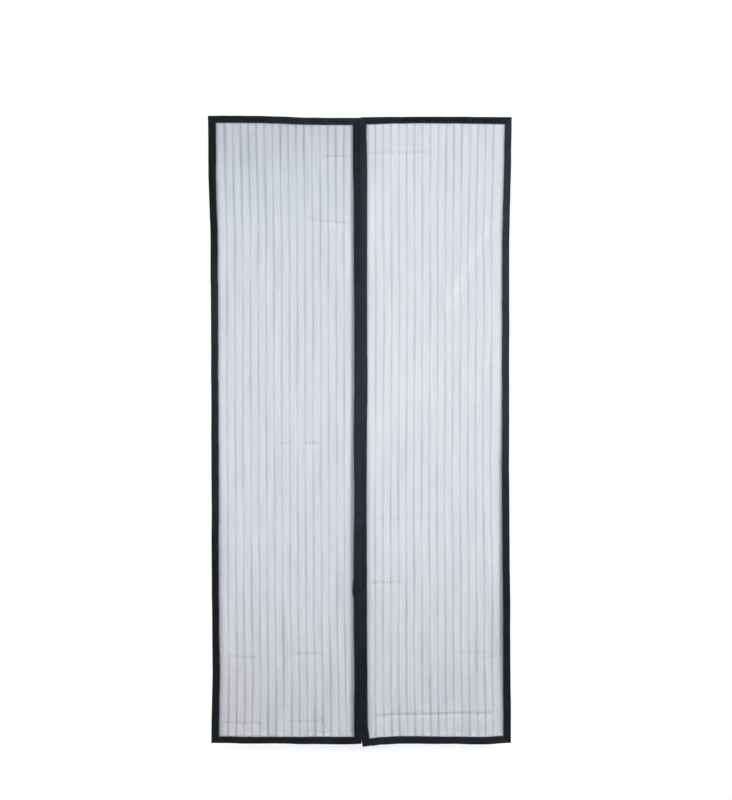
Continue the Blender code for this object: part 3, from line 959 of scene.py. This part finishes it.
def leg_height(panel, edge, inwards, along):
    """From the middle of the net to the middle of a tape leg.

    Between the fold and the seam the leg stands out in half a sine, and at the seam it is
    drawn in. Over the magnets it stands out further and dips between one and the next. It is
    flat at the corners, and an upright tape is lifted there by the level tape beneath.
    """
    cut, tape = settings("cut"), settings("binding")
    length, width, mitres = edge_facts(panel, edge)
    rows = seams(panel, edge)
    outer, inner = min(rows), max(rows)
    seed = panel.seed * 10 + EDGES.index(edge)
    uneven = 0.75 + 0.45 * waver(along, 0.045, seed)
    bulge = tape.puff * np.sin(np.pi * np.clip(inwards / outer, 0, 1)) * uneven
    if edge == "closing":
        pocket = tape.pocket_depth - tape.leg_depth
        step = smooth((outer - inwards) / (outer - cut.pocket_width))
        bulge = pocket * step * (1 - 0.45 * magnet_gap(along)) + 0.3 * bulge
        between = np.clip((inwards - outer) / (inner - outer), 0, 1)
        bulge += 0.6 * tape.puff * np.sin(np.pi * between) * uneven
    edge_lift = np.clip((inwards - inner) / tape.seam_inset, 0, 1)
    bulge += 0.00015 * edge_lift * (1 + waver(along, 0.016, seed + 1))
    pull = sum(bell((inwards - row) / SEAM_REACH) for row in rows)
    bulge -= 0.00008 * pull * (1 + waver(along, 0.012, seed + 2))

    # How far a point lies past the diagonals on which the tape meets its two neighbours
    share = inwards / width
    past = np.minimum(along - share * mitres[0], length - share * mitres[1] - along)
    flat = smooth((past - 0.008) / 0.014)
    lift = 0.0
    if edge in ("side", "closing"):
        lift = (tape.tape_thickness + 0.00015) * (1 - smooth((past - 0.0055) / 0.003))
    return tape.leg_depth + flat * bulge + lift


def tape_section(panel, edge):
    """Middle line of a folded tape, from the front leg's inner edge round the fold to the back
    leg's, as (inwards, side): side is -1 on the front leg, 1 on the back leg, and the sine of
    the way round in the fold, which is a circle's arc seen from the end."""
    cut, tape = settings("cut"), settings("binding")
    _, width, _ = edge_facts(panel, edge)
    rows = seams(panel, edge)
    outer, inner = min(rows), max(rows)
    # Places near the fold, at the inner edge, round each row of stitches and on the bulges
    leg = {0.0021, 0.0042, width - 0.0008, width}
    leg |= {row + aside for row in rows for aside in (-SEAM_REACH, 0.0, SEAM_REACH)}
    start = tape.tape_thickness / 2
    if edge == "closing":
        leg |= {0.0060, 0.0090, cut.pocket_width, (outer + inner) / 2}
        start -= (cut.closing_gap - LEAST_GAP) / 2
    else:
        leg |= {outer * 0.33, (outer + tape.fold_radius) * 0.66}
    leg = np.array(sorted(leg, reverse=True))
    turn = np.radians([60, 30, 0, -30, -60])
    fold = start + tape.fold_radius * (1 - np.cos(turn))
    if edge == "closing":
        fold = fold + panel.direction * tape.nesting * np.sin(turn)
    back = leg + tape.back_extra * np.clip((leg - inner) / tape.seam_inset, 0, 1)
    inwards = np.concatenate([leg, fold, back[::-1]])
    side = np.concatenate([-np.ones(len(leg)), -np.sin(turn), np.ones(len(leg))])
    return inwards, side


def tape_rows(length, step):
    """Shares of the way along a tape: close together at its ends and even between."""
    ends = np.array([0, 1, 2, 3.2, 4.5, 5.8, 7, 8.2, 9.5, 11.5, 14, 17, 21, 26, 31]) / 1000
    middle = steps(ends[-1] + step, length - ends[-1] - step, step)
    return np.concatenate([ends, middle, length - ends[::-1]]) / length


def make_binding(panel, edge, material):
    """A binding is the section of a folded tape carried along an edge of the flat cut. Its
    ends run on the diagonal to its neighbours: a level tape runs on beneath them by twice the
    lap, and an upright tape laps over. The tape's two faces lie half its thickness from the
    middle line, square to it."""
    tape = settings("binding")
    length, width, mitres = edge_facts(panel, edge)
    inwards, side = tape_section(panel, edge)
    share = np.clip(inwards / width, 0, 1)
    # A level tape ends just short of the fold of the upright one
    level = edge in ("top", "bottom")
    lap, least = (2 * tape.lap, 0.0016) if level else (tape.lap, 0.0)
    starts = np.maximum(share * mitres[0] - lap, least)
    ends = np.minimum(length - share * mitres[1] + lap, length - least)
    along = starts[:, None] + (ends - starts)[:, None] * tape_rows(length, tape.row_step)
    inwards = inwards[:, None] + np.zeros(along.shape)
    middle = side[:, None] * leg_height(panel, edge, inwards, along)

    run, rise = np.gradient(inwards, axis=0), np.gradient(middle, axis=0)
    square = np.stack([rise, -run]) / np.hypot(run, rise) * tape.tape_thickness / 2
    shifted = inwards + sewn_shift(panel, edge, inwards, along)
    skins = []
    for way in (1, -1):
        across, up = to_flat(edge, along, shifted + way * square[0])
        skins.append(hang(panel, across, up, middle + way * square[1]))
    path = np.cumsum(np.hypot(*np.diff([inwards[:, 0], middle[:, 0]])))
    path = np.concatenate([[0], path])[:, None] + np.zeros(along.shape)
    worn = 0.5 * bell(inwards / 0.0016) + 0.25 * bell((inwards - width) / 0.0009)
    worn = worn + through(panel.faded[edge], along / length) - 0.4
    return make_piece(
        f"{panel.name}_{edge}_tape", *shell(*skins), material, "binding",
        uv=np.stack([path, along], axis=-1),
        marks={"worn": worn},
        node=f"{panel.name}_{edge}_binding",
    )


# Sewing


def stitch_shape():
    """One stitch as (points, triangles): a six-sided spindle along the first axis from -1 to 1,
    with its two rings nearly full width and a point at each end."""
    turn = np.arange(6) * np.pi / 3
    ring = np.stack([np.zeros(6), np.cos(turn), np.sin(turn)], axis=-1)
    near, far = ring + [-0.72, 0, 0], ring + [0.72, 0, 0]
    points = np.concatenate([[[-1.0, 0, -0.6]], near, far, [[1.0, 0, -0.6]]])
    here, after = np.arange(6), np.roll(np.arange(6), -1)
    zero = np.zeros(6, int)
    triangles = np.concatenate([
        np.stack([zero, after + 1, here + 1], axis=-1),
        np.stack([here + 1, after + 1, after + 7], axis=-1),
        np.stack([here + 1, after + 7, here + 7], axis=-1),
        np.stack([zero + 13, here + 7, after + 7], axis=-1),
    ])
    return points, triangles


def sewn_line(start, end, pitch, seed):
    """Centres and slants of stitches from start to end, a pitch apart, none quite in place."""
    count = max(1, int((end - start) / pitch))
    random = np.random.default_rng(seed)
    jitter = random.uniform(-0.06, 0.06, count) * pitch
    slants = random.normal(0.09, 0.03, count)
    return start + (np.arange(count) + 0.5) * (end - start) / count + jitter, slants


def stitched(panel, edge, line, inwards, height, side):
    """Points of the stitches of one seam, and their cloth map: the spindle is scaled to the
    thread, slanted a little, laid along the seam and sunk by a third into the tape."""
    tape = settings("binding")
    along, slants = line
    shape, _ = stitch_shape()
    run = shape[:, 0] * tape.stitch_length / 2
    aside = shape[:, 1] * tape.thread_width / 2 + side * slants[:, None] * run
    lifted = height + tape.thread_width * (0.15 + 0.5 * shape[:, 2])
    place_along = along[:, None] + run
    across, up = to_flat(edge, place_along, inwards + aside)
    points = hang(panel, across, up, side * lifted)
    round_it = np.arctan2(shape[:, 2], shape[:, 1]) / (2 * np.pi)
    uv = np.stack([place_along, round_it + np.zeros(place_along.shape)], axis=-1)
    return points, uv


def make_stitching(panel, material):
    """Rows of straight stitches along every binding, front and back, as many copies of one
    spindle as a row holds."""
    tape = settings("binding")
    seams_made = []
    for number, edge in enumerate(EDGES):
        length, width, mitres = edge_facts(panel, edge)
        for order, inwards in enumerate(seams(panel, edge)):
            share = inwards / width
            start, end = share * mitres[0] + MM, length - share * mitres[1] - MM
            seed = panel.seed * 100 + number * 10 + order
            line = sewn_line(start, end, tape.stitch_pitch, seed)
            middle = leg_height(panel, edge, np.full(line[0].shape, inwards), line[0])
            height = middle[:, None] + tape.tape_thickness / 2
            seam = inwards + sewn_shift(panel, edge, inwards, line[0])[:, None]
            for side in (-1, 1):
                seams_made.append(stitched(panel, edge, line, seam, height, side))
    return thread_piece(f"{panel.name}_stitching", seams_made, material)


def thread_piece(name, seams_made, material):
    """One piece of all the stitches of some seams."""
    points, maps = (np.concatenate(part) for part in zip(*seams_made))
    shape, triangles = stitch_shape()
    firsts = np.arange(len(points)) * len(shape)
    faces = (triangles + firsts[:, None, None]).reshape(-1, 3)
    return make_piece(name, points.reshape(-1, 3), faces, material, "binding", uv=maps)


# Fixing strips


def strip_places(panel):
    """(edge, start and end along it) of the two fixing strips of a panel."""
    cut, look = settings("cut"), settings("fixing")
    far = look.inset + look.width
    return [
        ("top", look.inset, cut.panel_width - closing_width(panel) - look.inset),
        ("side", look.inset, cut.panel_height - far - look.inset),
    ]


def strip_foot(edge, along):
    """Depth of a strip's sewn face: it is lifted where it crosses the lapped corners."""
    cut, look = settings("cut"), settings("fixing")
    lift = 1 - smooth((along - 0.027) / 0.010)
    if edge == "side":
        lift = np.maximum(lift, 1 - smooth((cut.panel_height - 0.030 - along) / 0.010))
    return look.foot + 0.00075 * lift


def make_fixing_strip(panel, edge, start, end, material):
    """A loop tape: a flat foot, two thin selvedges, and a pile that swells between them (one
    less the eighth power of the place across), with ends cut square."""
    look = settings("fixing")
    inner = steps(look.selvedge, look.width - look.selvedge, step=0.0027)
    near = np.array([0, 0.4, 1.2]) / 1000
    inwards = np.concatenate([near, inner, look.width - near[::-1]]) + look.inset
    along = steps(start, end, look.row_step)
    inwards, along = np.meshgrid(inwards, along, indexing="ij")
    foot = strip_foot(edge, along)
    middle = look.inset + look.width / 2
    room = np.abs(inwards - middle) / (look.width / 2 - look.selvedge * 0.8)
    pile = np.clip(1 - room**8, 0, 1)
    seed = panel.seed * 7 + len(edge)
    uneven = 0.9 + 0.12 * waver(along + 3 * inwards, 0.02, seed)
    top = foot + look.ground + look.pile * pile * uneven
    across, up = to_flat(edge, along, inwards)
    skins = [hang(panel, across, up, depth) for depth in (foot, top)]
    return make_piece(
        f"{panel.name}_{edge}_loop_tape", *shell(*skins), material, "fixing",
        uv=np.stack([inwards, along], axis=-1),
        marks={"pile": np.stack([np.zeros(pile.shape), pile])},
        node=f"{panel.name}_{edge}_fixing_strip",
    )


def make_strip_sewing(panel, material):
    """Two rows of stitches, one along the middle of each selvedge of each fixing strip."""
    look = settings("fixing")
    seams_made = []
    for number, (edge, start, end) in enumerate(strip_places(panel)):
        for order, inset in enumerate((look.selvedge / 2, look.width - look.selvedge / 2)):
            seed = panel.seed * 100 + 50 + number * 10 + order
            line = sewn_line(start + MM, end - MM, look.stitch_pitch, seed)
            height = (strip_foot(edge, line[0]) + look.ground)[:, None]
            seams_made.append(stitched(panel, edge, line, look.inset + inset, height, 1))
    return thread_piece(f"{panel.name}_strip_sewing", seams_made, material)


# Operators


class INSECT_SCREEN_OT_nets(bpy.types.Operator):
    """Builds the two striped nets"""

    bl_idname = "insect_screen.nets"
    bl_label = "Nets"

    def execute(self, context):
        material = woven_net()
        for panel in PANELS:
            make_net(panel, material)
        return {"FINISHED"}


class INSECT_SCREEN_OT_bindings(bpy.types.Operator):
    """Builds the eight folded tapes round the nets"""

    bl_idname = "insect_screen.bindings"
    bl_label = "Bindings"

    def execute(self, context):
        material, cut, net = woven_tape(), settings("cut"), settings("net")
        for panel in PANELS:
            tapes = [make_binding(panel, edge, material) for edge in EDGES]
        return {"FINISHED"}


class INSECT_SCREEN_OT_stitching(bpy.types.Operator):
    """Sews the bindings down with rows of stitches"""

    bl_idname = "insect_screen.stitching"
    bl_label = "Stitching"

    def execute(self, context):
        material = spun_thread()
        for panel in PANELS:
            make_stitching(panel, material)
            make_strip_sewing(panel, material)
        return {"FINISHED"}


class INSECT_SCREEN_OT_fixing_strips(bpy.types.Operator):
    """Builds the loop tapes on the back of the top and side bindings"""

    bl_idname = "insect_screen.fixing_strips"
    bl_label = "Fixing strips"

    def execute(self, context):
        material = looped_tape()
        for panel in PANELS:
            for edge, start, end in strip_places(panel):
                make_fixing_strip(panel, edge, start, end, material)
        return {"FINISHED"}


class INSECT_SCREEN_OT_magnets(bpy.types.Operator):
    """Gives the magnet strips inside the closing bindings their rubber"""

    bl_idname = "insect_screen.magnets"
    bl_label = "Magnets"

    def execute(self, context):
        material = magnet_rubber()
        for name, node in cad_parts.items():
            if "_magnet_" in name:
                node.data.materials.clear()
                node.data.materials.append(material)
        return {"FINISHED"}


class INSECT_SCREEN_OT_stage(bpy.types.Operator):
    """Sets up the floor, the light and the camera"""

    bl_idname = "insect_screen.stage"
    bl_label = "Stage"

    def execute(self, context):
        look, scene = settings("stage"), context.scene
        make_floor(look)
        make_light(look)
        camera = bpy.data.cameras.new("Camera")
        camera.sensor_fit = "AUTO"
        camera.lens = camera.sensor_width * look.view_distance / look.view_span
        camera.clip_end = 100.0
        holder = new_object("Camera", camera)
        holder.location = (look.view_across, -look.view_distance, look.view_height)
        holder.rotation_euler = (np.pi / 2, 0, 0)
        scene.camera = holder
        scene.view_settings.view_transform = "Standard"
        return {"FINISHED"}


def make_floor(look):
    """An oval sheet: a square grid pressed into a disc, x = u sqrt(1 - v squared / 2) and y
    the other way round, and stretched."""
    side, level = np.linspace(-1, 1, 33), -0.003
    u, v = np.meshgrid(side, side, indexing="ij")
    x, y = u * np.sqrt(1 - v**2 / 2), v * np.sqrt(1 - u**2 / 2)
    outwards = smooth((np.hypot(x, y) - 0.55) / 0.45)
    x, y = x * look.floor_width / 2, y * look.floor_depth / 2 - look.floor_forward
    points = np.stack([x, y, np.full(x.shape, level)], axis=-1).reshape(-1, 3)
    quads, marks = grid_quads(*x.shape), {"outwards": outwards}
    new_object("floor", new_mesh("floor", points, quads, painted_floor(), marks))


def make_light(look):
    """A white studio all round, a soft light at the upper right, and a broad one overhead that
    keeps the floor white."""
    world = bpy.data.worlds.new("White studio")
    world.use_nodes = True
    back = world.node_tree.nodes["Background"]
    back.inputs["Color"].default_value = (1, 1, 1, 1)
    back.inputs["Strength"].default_value = 1.0
    bpy.context.scene.world = world
    # Name, power, width, place, and turn in degrees
    lights = [
        ("Key", look.key_power, 1.8, (1.8, -3.0, 3.2), (58, 0, 30)),
        ("Overhead", look.overhead_power, 3.0, (0.0, 0.0, 3.8), (0, 0, 0)),
    ]
    for name, power, size, place, turn in lights:
        light = bpy.data.lights.new(name, "AREA")
        light.shape = "DISK"
        light.size = size
        light.energy = power
        holder = new_object(name, light)
        holder.location = place
        holder.rotation_euler = np.radians(turn)
        holder.visible_camera = False


class INSECT_SCREEN_PT_sidebar(bpy.types.Panel):
    """Lists what builds the screen, and its sizes and colours"""

    bl_label = "Insect Screen"
    bl_space_type = "VIEW_3D"
    bl_region_type = "UI"
    bl_category = "Insect Screen"

    def draw(self, context):
        for operator in OPERATORS:
            self.layout.operator(operator.bl_idname)
        for name, group in GROUPS.items():
            column = self.layout.column(align=True)
            column.label(text=group.__doc__)
            for prop in group.__annotations__:
                column.prop(settings(name), prop)


GROUPS = {
    "cut": ScreenCut,
    "net": NetLook,
    "binding": BindingLook,
    "fixing": FixingLook,
    "magnet": MagnetLook,
    "stage": StageLook,
}
OPERATORS = (
    INSECT_SCREEN_OT_nets,
    INSECT_SCREEN_OT_bindings,
    INSECT_SCREEN_OT_stitching,
    INSECT_SCREEN_OT_fixing_strips,
    INSECT_SCREEN_OT_magnets,
    INSECT_SCREEN_OT_stage,
)


def register():
    for group in (*GROUPS.values(), *OPERATORS, INSECT_SCREEN_PT_sidebar):
        bpy.utils.register_class(group)
    for name, group in GROUPS.items():
        setattr(bpy.types.Scene, f"insect_screen_{name}", PointerProperty(type=group))


def unregister():
    for name in GROUPS:
        delattr(bpy.types.Scene, f"insect_screen_{name}")
    for group in (INSECT_SCREEN_PT_sidebar, *OPERATORS[::-1], *GROUPS.values()):
        bpy.utils.unregister_class(group)


def main():
    register()
    bpy.ops.insect_screen.nets()
    bpy.ops.insect_screen.bindings()
    bpy.ops.insect_screen.stitching()
    bpy.ops.insect_screen.fixing_strips()
    bpy.ops.insect_screen.magnets()
    bpy.ops.insect_screen.stage()


if __name__ == "__main__":
    main()
